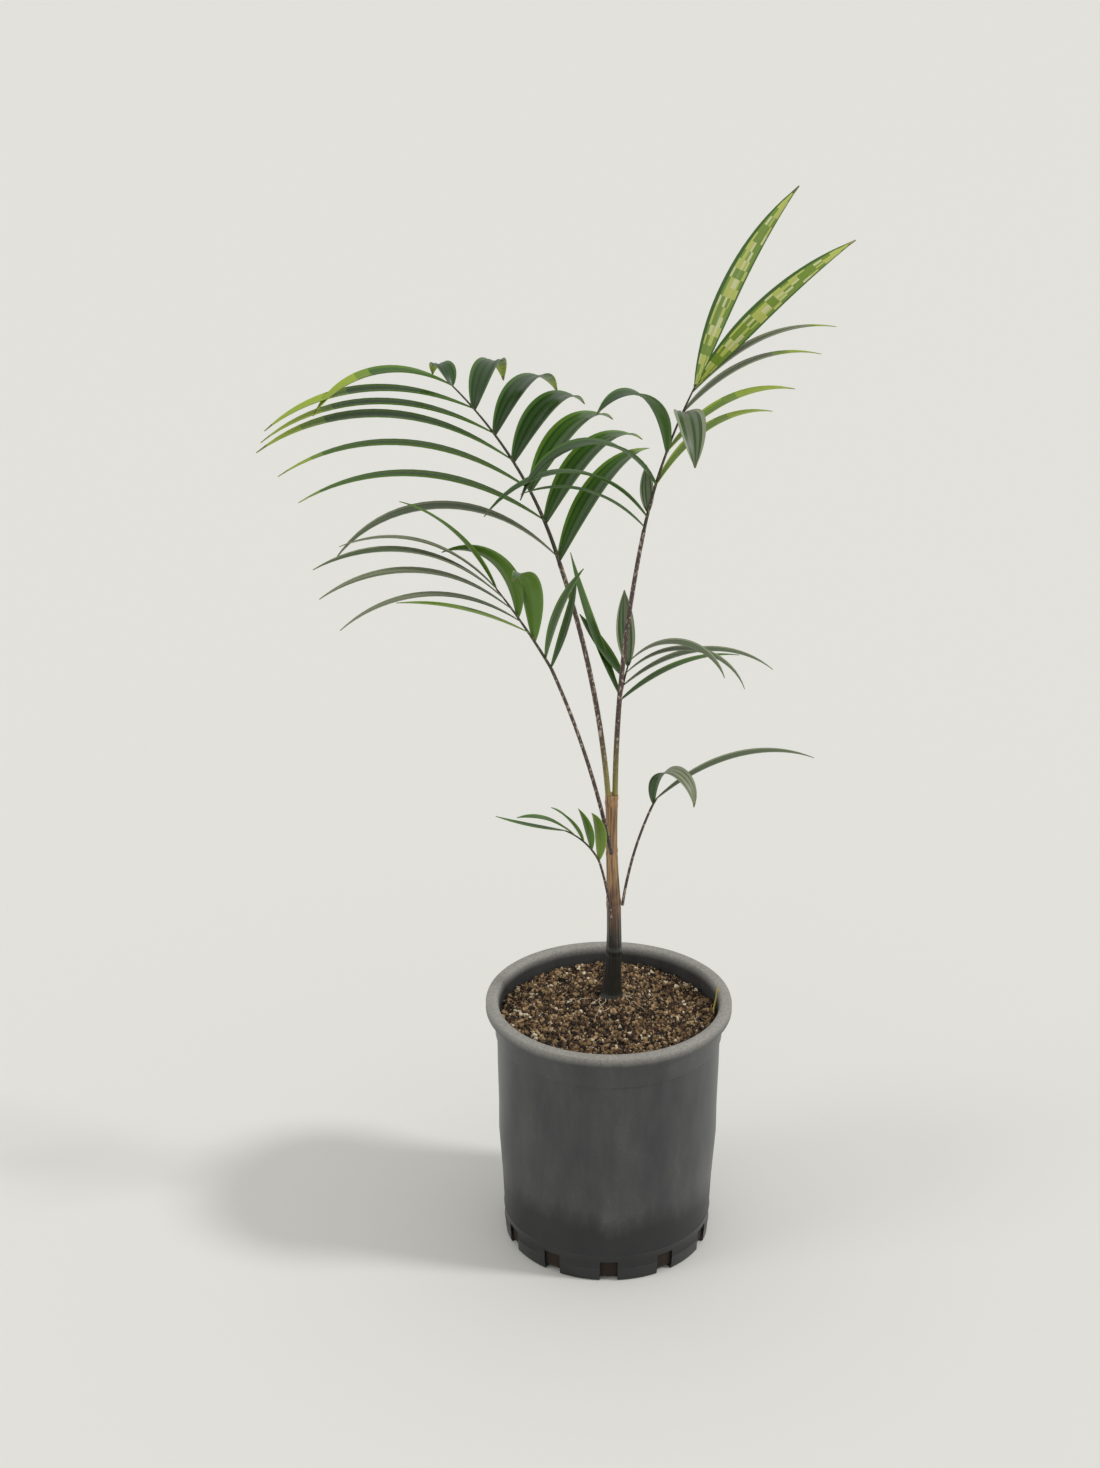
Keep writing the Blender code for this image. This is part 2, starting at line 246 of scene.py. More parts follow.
@dataclass(frozen=True)
class Speckled(Finish):
    """Petiole skin: brown-purple, and flecked with the pale scurf that gives it its salt and pepper look.

    The flecks are drawn somewhat coarser than life, so that they show. Below the fade, which runs between
    two heights, the skin is the plain yellow-green of a young sheath.
    """

    fleck: str = "b3a493"
    fleck_mm: float = 1.6
    flattening: float = 0.6
    share: float = 0.54
    softness: float = 0.12
    young: str = "4a3a34"
    fade: tuple[float, float] = (0.0, 0.001)
    relief: tuple[float, float] = (0.4, 0.0003)

    def dress(self, surface: Surface) -> None:
        """Lays flecks that are longer along the petiole than across it.

        Args:
            surface: The material's nodes.
        """
        spots = surface.grain(self.fleck_mm, self.flattening, Detail=3.0)
        skin = surface.ramp(spots, (self.share, self.colour), (self.share + self.softness, self.fleck))
        age = surface.remap(surface.height(), *self.fade)
        surface.feed("Base Color", surface.blend(age, linear_colour(self.young), skin))
        surface.bump(*self.relief, spots)


@dataclass(frozen=True)
class Sheath(Finish):
    """Leaf sheath round the stem: dark and glossy at the foot, dry and tan above, with fine fibres."""

    dry: str = "b38c5e"
    dark: str = "1d1f18"
    between: float = 0.55
    dry_height: float = 0.262
    dark_height: float = 0.215
    wander: float = 0.03
    wander_mm: float = 100 / 9
    fibre_mm: float = 1.1
    fibre_flattening: float = 0.05
    fibre_shade: tuple[float, str] = (0.3, "8c8078")
    fibre_light: tuple[float, str] = (0.62, "ffffff")
    relief: tuple[float, float] = (0.6, 0.0004)

    def dress(self, surface: Surface) -> None:
        """Runs fibres up the stem and fades its colour with height.

        Args:
            surface: The material's nodes.
        """
        fibre = surface.grain(self.fibre_mm, self.fibre_flattening, Detail=4.0)
        wander = surface.grain(self.wander_mm, Detail=3.0)
        height = surface.maths("MULTIPLY_ADD", wander, self.wander, surface.height())
        half = self.wander / 2
        age = surface.remap(height, self.dark_height + half, self.dry_height + half)
        tone = surface.ramp(age, (0.0, self.dark), (self.between, self.colour), (1.0, self.dry))
        streak = surface.ramp(fibre, self.fibre_shade, self.fibre_light)
        surface.feed("Base Color", surface.blend(1.0, tone, streak, "MULTIPLY"))
        surface.bump(*self.relief, fibre)


@dataclass(frozen=True)
class RecycledPlastic(Finish):
    """Recycled polypropylene, injection moulded: a satin charcoal, since it is made of mixed black scrap.

    Dust lies on it as a film in runs down the wall and as a pale bloom on the worn rim, and its lowest band
    is painted darker, nearly black. The grit is drawn coarser than life, so that it shows.
    """

    dust: str = "a9a69e"
    scuff_mm: float = 22.0
    scuff_flattening: float = 0.3
    scuff_roughness: float = 0.62
    grit_mm: float = 10 / 7
    film: tuple[float, ...] = (0.35, 0.8, 0.0, 0.16)
    speck: tuple[float, ...] = (0.3, 0.7, 0.6)
    rim_height: float = 0.1715
    rim_fade: float = 0.006
    bloom: float = 0.8
    # The lowest band of the wall is painted this near-black, darker towards the bottom
    dark_foot: str = "0b0d10"
    dark_foot_height: float = 0.047
    dark_foot_fade: float = 0.008
    dark_foot_strength: float = 0.85
    wander: float = 0.03
    clean_gloss: float = 0.06
    dust_matte: float = 0.35
    relief: tuple[float, float] = (0.12, 0.0003)

    def dress(self, surface: Surface) -> None:
        """Lays the dust and the darker band at the foot on the plain plastic.

        Args:
            surface: The material's nodes.
        """
        flattening, rough = self.scuff_flattening, self.scuff_roughness
        runs = surface.grain(self.scuff_mm, flattening, Detail=8.0, Roughness=rough)
        grit = surface.grain(self.grit_mm, Detail=3.0)
        height = surface.height()
        rim = surface.remap(height, self.rim_height, self.rim_height + self.rim_fade, 0.0, self.bloom)
        worn = surface.maths("ADD", surface.remap(runs, *self.film), rim)
        dusty = surface.maths("MULTIPLY", worn, surface.remap(grit, *self.speck))
        colour = surface.blend(dusty, linear_colour(self.colour), linear_colour(self.dust))
        # The lowest band is painted darker, nearly black, below a wavering edge
        edge = surface.maths("MULTIPLY_ADD", runs, self.wander, height)
        middle = self.dark_foot_height + self.wander / 2
        dark_foot = surface.remap(edge, middle - self.dark_foot_fade, middle + self.dark_foot_fade, self.dark_foot_strength, 0.0)
        gloss, matte = self.roughness - self.clean_gloss, self.roughness + self.dust_matte
        surface.feed("Base Color", surface.blend(dark_foot, colour, linear_colour(self.dark_foot)))
        surface.feed("Roughness", surface.remap(dusty, 0.0, 1.0, gloss, matte))
        surface.bump(*self.relief, grit)


POT_PLASTIC = RecycledPlastic("recycled_polypropylene", "303234", 0.42)
SHEATH = Sheath("leaf_sheath", "6a4c32", 0.42, 0.3)
PETIOLE_SKIN = Speckled("scurfy_petiole", "4a3a34", 0.5)
RIB_SKIN = Speckled("leaf_rib", "3c3526", 0.45, fleck="8d8a66", share=0.58)
UPPER_SKIN = Speckled("young_petiole", "4a3a34", 0.5, young="8a8245", fade=(0.322, 0.368))

# Matte paper that takes the shadows
PAPER = Finish("seamless_paper", "e2e1dc", 0.9)
# Dry root bark and straw: pale threads with no shine
ROOT = Finish("fine_root", "b9a88c", 0.7)
STRAW = Finish("dry_straw", "b3a24a", 0.6)
# Damp peat is nearly black between the dry crumbs, and the grit gives a few pale glints
CRUMB_FINISHES = [
    Finish("bark_crumb", "4d3826", 0.9),
    Finish("peat_crumb", "261b13", 0.95),
    Finish("coir_crumb", "7d6344", 0.9),
    Finish("sand_grain", "a58a64", 0.8),
    Finish("pale_grit", "d5c8ac", 0.6),
]
PEAT = CRUMB_FINISHES[1]


class Green(Enum):
    """The plain colours that leaflets are painted with, from deep shade to dry tips. The sage and ash greys
    are painted sheen of the waxy upper face.
    """

    BOTTLE = LeafBlade("leaf_bottle", "1f3810", 0.38, 0.1)
    DEEP = LeafBlade("leaf_deep", "2b4a17", 0.38, 0.1)
    FERN = LeafBlade("leaf_fern", "3d6118", 0.4, 0.1)
    BRIGHT = LeafBlade("leaf_bright", "55791b", 0.42, 0.1)
    OLIVE = LeafBlade("leaf_olive", "75912d", 0.42, 0.15)
    LIME = LeafBlade("leaf_lime", "98ad33", 0.45, 0.1)
    STRAW = LeafBlade("leaf_straw", "b9c163", 0.5)
    CREAM = LeafBlade("leaf_cream", "cdd09a", 0.5)
    # Painted sheen: grey-greens that stand for the waxy upper face as it reflects the pale surroundings
    SHEEN_SAGE = LeafBlade("leaf_sheen_sage", "5d664b", 0.45, 0.1)
    SHEEN_ASH = LeafBlade("leaf_sheen_ash", "868c70", 0.5)
    DRY = LeafBlade("leaf_dry", "6a5a3c", 0.6)


GREENS = tuple(Green)


class Tone(Enum):
    """How one leaflet is painted: its blade, its pleats, its margin and its underside. The pleats take a
    darker green, as painted shade in their folds.
    """

    DEEP = (Green.DEEP, Green.BOTTLE, Green.FERN, Green.FERN)
    FRESH = (Green.FERN, Green.DEEP, Green.BRIGHT, Green.BRIGHT)
    BRIGHT = (Green.BRIGHT, Green.FERN, Green.OLIVE, Green.OLIVE)
    LIME = (Green.OLIVE, Green.BRIGHT, Green.LIME, Green.LIME)
    STREAKED = (Green.STRAW, Green.OLIVE, Green.FERN, Green.STRAW)
    # Painted sheen: these tones paint the waxy upper face grey; the ash tone also paints its underside a
    # deep green, as painted shade
    SHEEN_SAGE = (Green.SHEEN_SAGE, Green.DEEP, Green.SHEEN_ASH, Green.SHEEN_ASH)
    SHEEN_ASH = (Green.SHEEN_ASH, Green.SHEEN_SAGE, Green.SHEEN_ASH, Green.DEEP)


@dataclass(frozen=True)
class Limb:
    """A tapering limb: its length, its angles and its radius at the foot and the tip."""

    length: float
    heading: float
    rise: float
    fall: float
    foot_radius: float
    tip_radius: float

    def radii(self, steps: int) -> list[float]:
        """The radius at each step along the limb."""
        return [mix(self.foot_radius, self.tip_radius, step / steps) for step in range(steps + 1)]


@dataclass(frozen=True)
class Leaflet:
    """A leaflet: its share along the rib, its size and angles, its tone and where its tip turns lime, which
    is painted light shining through the thin tip.
    """

    at: float
    length: float
    heading: float
    rise: float
    fall: float
    width: float
    turn: float = 0.0
    tone: Tone = Tone.DEEP
    # The share past which the tip is painted olive, then lime, as light shining through it
    lit_tip: float = 2.0


def fan(count: int, *keys: Leaflet) -> tuple[Leaflet, ...]:
    """Leaflets from the first key to the last, closer together towards the rib's tip.

    Args:
        count: How many leaflets there are.
        *keys: The leaflets that the others are worked out between.

    Returns:
        The leaflets in order along the rib.
    """
    made = []
    for index in range(count):
        share = (index / (count - 1)) ** LEAFLET_CROWDING
        at = mix(keys[0].at, keys[-1].at, share)
        lower = max(i for i in range(len(keys) - 1) if keys[i].at <= at + TINY)
        low, high = keys[lower], keys[lower + 1]
        part = (at - low.at) / (high.at - low.at)
        sizes = ("length", "heading", "rise", "fall", "width", "turn", "lit_tip")
        values = {size: mix(getattr(low, size), getattr(high, size), part) for size in sizes}
        made.append(replace(low, at=at, **values))
    return tuple(made)


def direction(heading: float, climb: float) -> Vector:
    """The unit vector of a direction.

    Args:
        heading: Its angle in plan, in degrees from +X.
        climb: Its angle above level, in degrees.

    Returns:
        The vector.
    """
    plan = math.radians(heading)
    up = math.radians(climb)
    return Vector((math.cos(up) * math.cos(plan), math.cos(up) * math.sin(plan), math.sin(up)))


def level_side(heading: float) -> Vector:
    """The level direction across a heading, to its right."""
    plan = math.radians(heading)
    return Vector((math.sin(plan), -math.cos(plan), 0.0))


def arching_path(
    start: Vector, size: Limb | Leaflet, steps: int, bend: float = 1.0
) -> tuple[list[Vector], list[Vector]]:
    """Points and directions along a limb or leaflet whose climb turns from its rise to its fall.

    Args:
        start: Where it starts, in millimetres.
        size: Its length and angles.
        steps: How many steps it is worked out in.
        bend: How late it bends, where one is evenly.

    Returns:
        The points and the directions at them.
    """
    points = [Vector(start)]
    ways = [direction(size.heading, size.rise)]
    for step in range(steps):
        middle = mix(size.rise, size.fall, ((step + 0.5) / steps) ** bend)
        end = mix(size.rise, size.fall, ((step + 1) / steps) ** bend)
        points.append(points[-1] + direction(size.heading, middle) * (size.length / steps))
        ways.append(direction(size.heading, end))
    return points, ways


def along(points: list[Vector], share: float) -> Vector:
    """The point at a share of the way along a list of points.

    Args:
        points: The points in order.
        share: From 0 at the first to 1 at the last.

    Returns:
        The point.
    """
    place = share * (len(points) - 1)
    index = min(int(place), len(points) - 2)
    return points[index].lerp(points[index + 1], place - index)


@dataclass
class MeshBuilder:
    """Gathers the faces of many small shapes into one piece."""

    points: list[Vector] = field(default_factory=list)
    faces: list[tuple[int, ...]] = field(default_factory=list)
    paints: list[int] = field(default_factory=list)

    def add(self, points: list[Vector], faces: list[tuple[int, ...]], paints: list[int]) -> None:
        """Adds one shape.

        Args:
            points: Its points, in millimetres.
            faces: Its faces, counted from its own first point.
            paints: The place of each face's finish in the piece's list.
        """
        base = len(self.points)
        self.points.extend(points)
        self.faces.extend([tuple(base + i for i in face) for face in faces])
        self.paints.extend(paints)

    def piece(self, name: str, finishes: list[Finish], smooth: float) -> bpy.types.Object:
        """Makes the piece.

        Args:
            name: The piece's name.
            finishes: The finishes that the faces' paints count into.
            smooth: The angle in degrees that edges are shaded smooth up to.

        Returns:
            The object, at the origin.
        """
        mesh = bpy.data.meshes.new(name)
        mesh.from_pydata([tuple(Vector(p) * MM) for p in self.points], [], self.faces)
        for each in finishes:
            mesh.materials.append(each.material())
        mesh.polygons.foreach_set("material_index", self.paints)
        mesh.update()
        made = bpy.data.objects.new(name, mesh)
        bpy.context.scene.collection.objects.link(made)
        select_only(made)
        bpy.ops.object.shade_smooth_by_angle(angle=math.radians(smooth))
        return made


def finish_mesh(made: bpy.types.Object, finish: Finish, smooth: float) -> None:
    """Gives the active object one finish and shades its round faces smooth.

    Args:
        made: The object.
        finish: What it is finished with.
        smooth: The angle in degrees that edges are shaded smooth up to.
    """
    made.data.materials.clear()
    made.data.materials.append(finish.material())
    bpy.ops.object.shade_smooth_by_angle(angle=math.radians(smooth))


def settle(piece: bpy.types.Object, slot: str, *nodes: str) -> None:
    """Makes a piece ride on the plant and hides the nodes that it stands for.

    Args:
        piece: The piece.
        slot: The slot of its material; not used.
        *nodes: The nodes that it replaces.
    """
    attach(piece, "root")
    if nodes:
        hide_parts(*nodes)
    LOG.info("%s: %d faces", piece.name, len(piece.data.polygons))


def swept_tube(name: str, points: list[Vector], radii: list[float], finish: Finish) -> bpy.types.Object:
    """A round limb along a smooth path, from a curve that is bevelled and turned to a mesh.

    Args:
        name: The piece's name.
        points: The middle of the limb, in millimetres.
        radii: The radius at each point, in millimetres.
        finish: What it is finished with.

    Returns:
        The mesh object, at the origin.
    """
    deselect()
    bpy.ops.curve.primitive_nurbs_path_add(location=(0, 0, 0))
    curve = bpy.context.object.data
    curve.splines.clear()
    spline = curve.splines.new("POLY")
    spline.points.add(len(points) - 1)
    for knot, point, radius in zip(spline.points, points, radii):
        knot.co = (*(Vector(point) * MM), 1.0)
        knot.radius = radius
    curve.dimensions = "3D"
    curve.bevel_depth = MM
    curve.bevel_resolution = TUBE_RESOLUTION
    curve.use_fill_caps = True
    bpy.ops.object.convert(target="MESH")
    made = bpy.context.object
    made.name = name
    made.data.name = name
    bpy.ops.object.mode_set(mode="EDIT")
    bpy.ops.mesh.select_all(action="SELECT")
    bpy.ops.mesh.remove_doubles(threshold=MERGE)
    bpy.ops.mesh.normals_make_consistent(inside=False)
    bpy.ops.object.mode_set(mode="OBJECT")
    finish_mesh(made, finish, TUBE_SMOOTH)
    return made


@dataclass
class TurnedWall:
    """A round wall that is turned ring by ring, as an edge loop that is extruded and resized."""

    name: str
    sides: int = 176

    def turn(self, profile: list[Ring]) -> bpy.types.Object:
        """Turns the wall.

        Args:
            profile: Radius and height of each ring in millimetres, from the outside of the foot.

        Returns:
            The closed wall.
        """
        deselect()
        radius, height = profile[0]
        bpy.ops.mesh.primitive_circle_add(
            vertices=self.sides, radius=radius * MM, location=(0, 0, height * MM), fill_type="NGON"
        )
        made = bpy.context.object
        bpy.ops.object.transform_apply(location=True, rotation=True, scale=True)
        bpy.ops.object.mode_set(mode="EDIT")
        bpy.ops.mesh.select_mode(type="EDGE")
        bpy.ops.mesh.select_all(action="SELECT")
        for (low_radius, low), (next_radius, high) in zip(profile, profile[1:]):
            bpy.ops.mesh.extrude_edges_move(TRANSFORM_OT_translate={"value": (0, 0, (high - low) * MM)})
            grown = next_radius / low_radius
            bpy.ops.transform.resize(value=(grown, grown, 1.0), center_override=(0, 0, high * MM))
        bpy.ops.mesh.edge_face_add()
        bpy.ops.mesh.select_all(action="SELECT")
        bpy.ops.mesh.normals_make_consistent(inside=False)
        bpy.ops.object.mode_set(mode="OBJECT")
        made.name = self.name
        made.data.name = self.name
        return made


def corner(radius: float, height: float, offsets: Rings) -> list[Ring]:
    """The rings round one corner of a profile, at how far out and up each lies from it."""
    return [(radius + out, height + up) for out, up in offsets]


@dataclass
class Pot:
    """The nursery pot, with a rolled rim, a collar, mould rings and drain slots.

    Each field of pairs gives how far out and up the rings at one corner of the profile lie from it.
    """

    height: float = 177.6
    base: float = 70.1
    belly: float = 74.2
    belly_height: float = 100.0
    neck: float = 75.0
    collar_height: float = 153.2
    collar: float = 76.2
    rim: float = 82.5
    rim_depth: float = 7.0
    wall: float = 1.6
    floor: float = 3.0
    low_height: float = 45.0
    swell_height: float = 80.0
    swell: float = 0.1
    neck_height: float = 130.0
    neck_draw: float = 0.2
    inside_height: float = 140.0
    foot_edge: Rings = ((-1.2, 0.0), (-0.4, 0.35), (0.0, 1.2))
    mould_rings: tuple[float, ...] = (9.6, 19.9)
    mould_ring: Rings = ((-0.05, -0.7), (0.35, 0.0), (0.0, 0.7))
    neck_top: float = 1.0
    collar_step: Rings = ((-0.3, -0.4), (0.0, 0.4))
    collar_top: Rings = ((0.3, -1.2), (1.0, -0.1))
    rim_under: Rings = ((-1.2, 0.0), (-0.3, 0.3), (0.0, 1.2))
    rim_top: Rings = ((0.0, -1.8), (-0.4, -0.5), (-1.4, 0.0), (-4.0, 0.15))
    mouth: Rings = ((2.4, 0.0), (1.3, -0.8), (0.5, -3.0), (0.0, -6.0))
    drains: int = 11
    drain_reach: float = 6.0
    drain_width: float = 12.0
    drain_height: float = 15.0
    smooth: float = 35.0

    def inner(self, height: float) -> float:
        """The radius of the inner wall.

        Args:
            height: The height that it is wanted at.

        Returns:
            The radius.
        """
        if height < self.belly_height:
            return mix(self.base, self.belly, height / self.belly_height) - self.wall
        share = (height - self.belly_height) / (self.collar_height - self.belly_height)
        return mix(self.belly, self.neck, min(share, 1.0)) - self.wall

    def outer(self, height: float) -> float:
        """The radius of the outer wall at a height below the collar."""
        return self.inner(height) + self.wall

    def profile(self) -> list[Ring]:
        """The profile of the wall, up the outside, over the rim and down the inside.

        Returns:
            Radius and height of each ring.
        """
        lip = self.height - self.rim_depth
        rings = corner(self.base, 0.0, self.foot_edge)
        for ring in self.mould_rings:
            rings += corner(self.outer(ring), ring, self.mould_ring)
        rings += [(self.outer(self.low_height), self.low_height)]
        rings += [(self.belly + self.swell, self.swell_height), (self.belly, self.belly_height)]
        rings += [(self.neck - self.neck_draw, self.neck_height)]
        rings += [(self.neck, self.collar_height - self.neck_top)]
        rings += corner(self.collar, self.collar_height, self.collar_step)
        rings += corner(self.collar, lip, self.collar_top)
        rings += corner(self.rim, lip, self.rim_under)
        rings += corner(self.rim, self.height, self.rim_top)
        rings += corner(self.inner(self.height), self.height, self.mouth)
        for height in (self.inside_height, self.belly_height, self.floor):
            rings += [(self.inner(height), height)]
        return rings

    def cutter(self) -> bpy.types.Object:
        """Makes the blocks that cut the drain slots through the corner of wall and floor.

        Returns:
            The blocks, joined to one object.
        """
        size = Vector((2 * self.drain_reach, self.drain_width, 2 * self.drain_height)) * MM
        place = Matrix.Translation((self.base * MM, 0, 0))
        blocks = []
        for number in range(self.drains):
            turn = Matrix.Rotation(2 * math.pi * number / self.drains - math.pi / 2, 4, "Z")
            deselect()
            bpy.ops.mesh.primitive_cube_add(size=1.0)
            block = bpy.context.object
            block.data.transform(turn @ place @ Matrix.Diagonal((*size, 1.0)))
            blocks.append(block)
        deselect()
        for block in blocks:
            block.select_set(True)
        bpy.context.view_layer.objects.active = blocks[0]
        bpy.ops.object.join()
        return bpy.context.object

    def build(self) -> None:
        """Turns the pot, cuts its slots and dresses it."""
        pot = TurnedWall("nursery_pot").turn(self.profile())
        cutter = self.cutter()
        slots = pot.modifiers.new("slots", "BOOLEAN")
        slots.operation = "DIFFERENCE"
        slots.object = cutter
        select_only(pot)
        bpy.ops.object.modifier_apply(modifier="slots")
        bpy.data.objects.remove(cutter, do_unlink=True)
        finish_mesh(pot, POT_PLASTIC, self.smooth)
        settle(pot, "pot", "pot")


@dataclass
class MixSurface:
    """The bare surface of the potting mix: a mound under the stem, one hollow behind it, and lumps.

    Each lump layer has its height, its width and its own slice of the noise.
    """

    level: float = 165.0
    mound: float = 8.0
    mound_radius: float = 46.0
    mound_fade: float = 1.6
    hollow: float = 6.0
    hollow_place: tuple[float, float] = (46.0, 26.0)
    hollow_radius: float = 20.0
    foot: tuple[float, float] = (1.8, 12.0)
    pad: float = 10.5
    lumps: tuple[tuple[float, float, float], ...] = ((1.5, 9.0, 3.0), (0.7, 3.0, 9.0))
    lump_start: float = 3.0

    def from_foot(self, x: float, y: float) -> float:
        """How far a place lies from the middle of the stem's foot."""
        return math.hypot(x - self.foot[0], y - self.foot[1])

    def height(self, x: float, y: float) -> float:
        """The height of the surface.

        Args:
            x: How far to the right.
            y: How far away.

        Returns:
            The height, which is level on the pad under the stem.
        """
        away = self.from_foot(x, y)
        if away < self.pad:
            return self.level + self.mound
        slope = (away - self.pad) / (self.mound_radius - self.pad)
        rise = self.mound * math.exp(-self.mound_fade * slope * slope)
        near = math.hypot(x - self.hollow_place[0], y - self.hollow_place[1]) / self.hollow_radius
        lump = sum(tall * noise.noise(Vector((x, y, layer)) / wide) for tall, wide, layer in self.lumps)
        hollow = self.hollow * math.exp(-near * near)
        return self.level + rise - hollow + lump * min(slope * self.lump_start, 1.0)


@dataclass
class CrumbScatter:
    """Crumbs of bark, peat, coir, sand and grit: worn blocks with six faces, strewn over the mix."""

    count: int = 14000
    smallest: float = 0.28
    spread: float = 0.95
    rarity: int = 4
    tumble: float = 6.28
    stretch: float = 1.1
    flatness: float = 0.7
    wear: tuple[float, float] = (0.7, 1.2)
    lift: float = 0.4
    wall_clearance: float = 1.6
    stem_clearance: float = 8.5
    shares: tuple[float, ...] = (0.26, 0.22, 0.28, 0.19, 0.05)
    smooth: float = 20.0

    def crumb(self, draw: np.random.Generator) -> tuple[list[Vector], float]:
        """Makes one crumb about its own middle.

        Args:
            draw: The mix's seeded numbers.

        Returns:
            Its eight corners and its size.
        """
        size = self.smallest + self.spread * draw.random() ** self.rarity
        turn = Euler(tuple(draw.random(3) * self.tumble)).to_matrix()
        long = 1.0 + draw.random() * self.stretch
        corners = []
        for a in (-1, 1):
            for b in (-1, 1):
                for c in (-1, 1):
                    place = turn @ Vector((a * long, b, c * self.flatness)) * size
                    corners.append(place * mix(*self.wear, draw.random()))
        return corners, size

    def build(self, surface: MixSurface, edge: float, draw: np.random.Generator) -> None:
        """Strews the crumbs, clear of the stem and the wall.

        Args:
            surface: What they lie on.
            edge: The radius of the pot's inner wall.
            draw: The mix's seeded numbers.
        """
        crumbs = MeshBuilder()
        sides = [(0, 1, 3, 2), (4, 6, 7, 5), (0, 4, 5, 1), (2, 3, 7, 6), (0, 2, 6, 4), (1, 5, 7, 3)]
        for _ in range(self.count):
            radius = (edge - self.wall_clearance) * math.sqrt(draw.random())
            angle = draw.random() * 2 * math.pi
            x, y = radius * math.cos(angle), radius * math.sin(angle)
            if surface.from_foot(x, y) < self.stem_clearance:
                continue
            corners, size = self.crumb(draw)
            middle = Vector((x, y, surface.height(x, y) + size * self.lift))
            paint = int(draw.choice(len(self.shares), p=self.shares))
            crumbs.add([middle + corner for corner in corners], sides, [paint] * len(sides))
        settle(crumbs.piece("potting_crumbs", CRUMB_FINISHES, self.smooth), "soil")


@dataclass
class FineRoots:
    """Fine pale roots that wander over the mix in front of the stem."""

    count: int = 12
    steps: int = 13
    stride: float = 1.1
    wander: float = 26.0
    sector: tuple[float, float] = (-160.0, 20.0)
    reach: tuple[float, float] = (6.0, 20.0)
    clearance: float = 0.9
    hop: float = 0.8
    foot_radius: float = 0.32
    tip_radius: float = 0.12

    def build(self, surface: MixSurface, draw: np.random.Generator) -> None:
        """Lays the roots.

        Args:
            surface: What they lie on.
            draw: The mix's seeded numbers.
        """
        shares = [step / self.steps for step in range(self.steps + 1)]
        radii = [mix(self.foot_radius, self.tip_radius, share) for share in shares]
        for number in range(self.count):
            heading = draw.uniform(*self.sector)
            place = Vector((*surface.foot, 0)) + direction(heading, 0) * draw.uniform(*self.reach)
            points = []
            for share in shares:
                heading += draw.uniform(-self.wander, self.wander)
                place += direction(heading, 0) * self.stride
                rise = self.clearance + self.hop * math.sin(math.pi * share)
                points.append(Vector((place.x, place.y, surface.height(place.x, place.y) + rise)))
            settle(swept_tube(f"fine_root_{number}", points, radii, ROOT), "soil")


@dataclass
class DryStraw:
    """One dry straw that leans on the inside of the rim, on the right."""

    foot: tuple[float, float, float] = (70.4, 3.0, 163.0)
    tip: tuple[float, float, float] = (74.0, 12.0, 178.0)
    radius: float = 0.7
    steps: int = 8
    kink: float = 0.6

    def build(self) -> None:
        """Lays the straw."""
        points = []
        for step in range(self.steps + 1):
            straight = Vector(self.foot).lerp(Vector(self.tip), step / self.steps)
            points.append(straight + Vector((0, 0, self.kink * math.sin(step))))
        settle(swept_tube("dry_straw", points, [self.radius] * len(points), STRAW), "soil")


@dataclass
class PottingMix:
    """The plug of potting mix in the pot, with what lies on it."""

    pot: Pot
    surface: MixSurface = field(default_factory=MixSurface)
    rings: int = 26
    sides: int = 120
    centre: float = 0.4
    smooth: float = 60.0
    seed: int = 23

    def plug(self) -> bpy.types.Object:
        """Turns the plug of mix and raises its top to the surface.

        Returns:
            The plug.
        """
        level = self.surface.level
        edge = self.pot.inner(level) - GAP
        floor = self.pot.floor + GAP
        belly = self.pot.belly_height
        profile = [(self.pot.inner(floor) - GAP, floor), (self.pot.inner(belly) - GAP, belly)]
        profile += [(edge, level - self.surface.mound)]
        profile += [(mix(edge, self.centre, i / self.rings), level) for i in range(self.rings + 1)]
        plug = TurnedWall("potting_mix", self.sides).turn(profile)
        for vertex in plug.data.vertices:
            x, y, z = (c / MM for c in vertex.co)
            if z > level - 1:
                vertex.co.z = self.surface.height(x, y) * MM
        return plug

    def build(self) -> None:
        """Makes the plug and strews it with crumbs, fine roots and the straw."""
        plug = self.plug()
        finish_mesh(plug, PEAT, self.smooth)
        settle(plug, "soil", "soil")
        draw = np.random.default_rng(self.seed)
        CrumbScatter().build(self.surface, self.pot.inner(self.surface.level), draw)
        FineRoots().build(self.surface, draw)
        DryStraw().build()


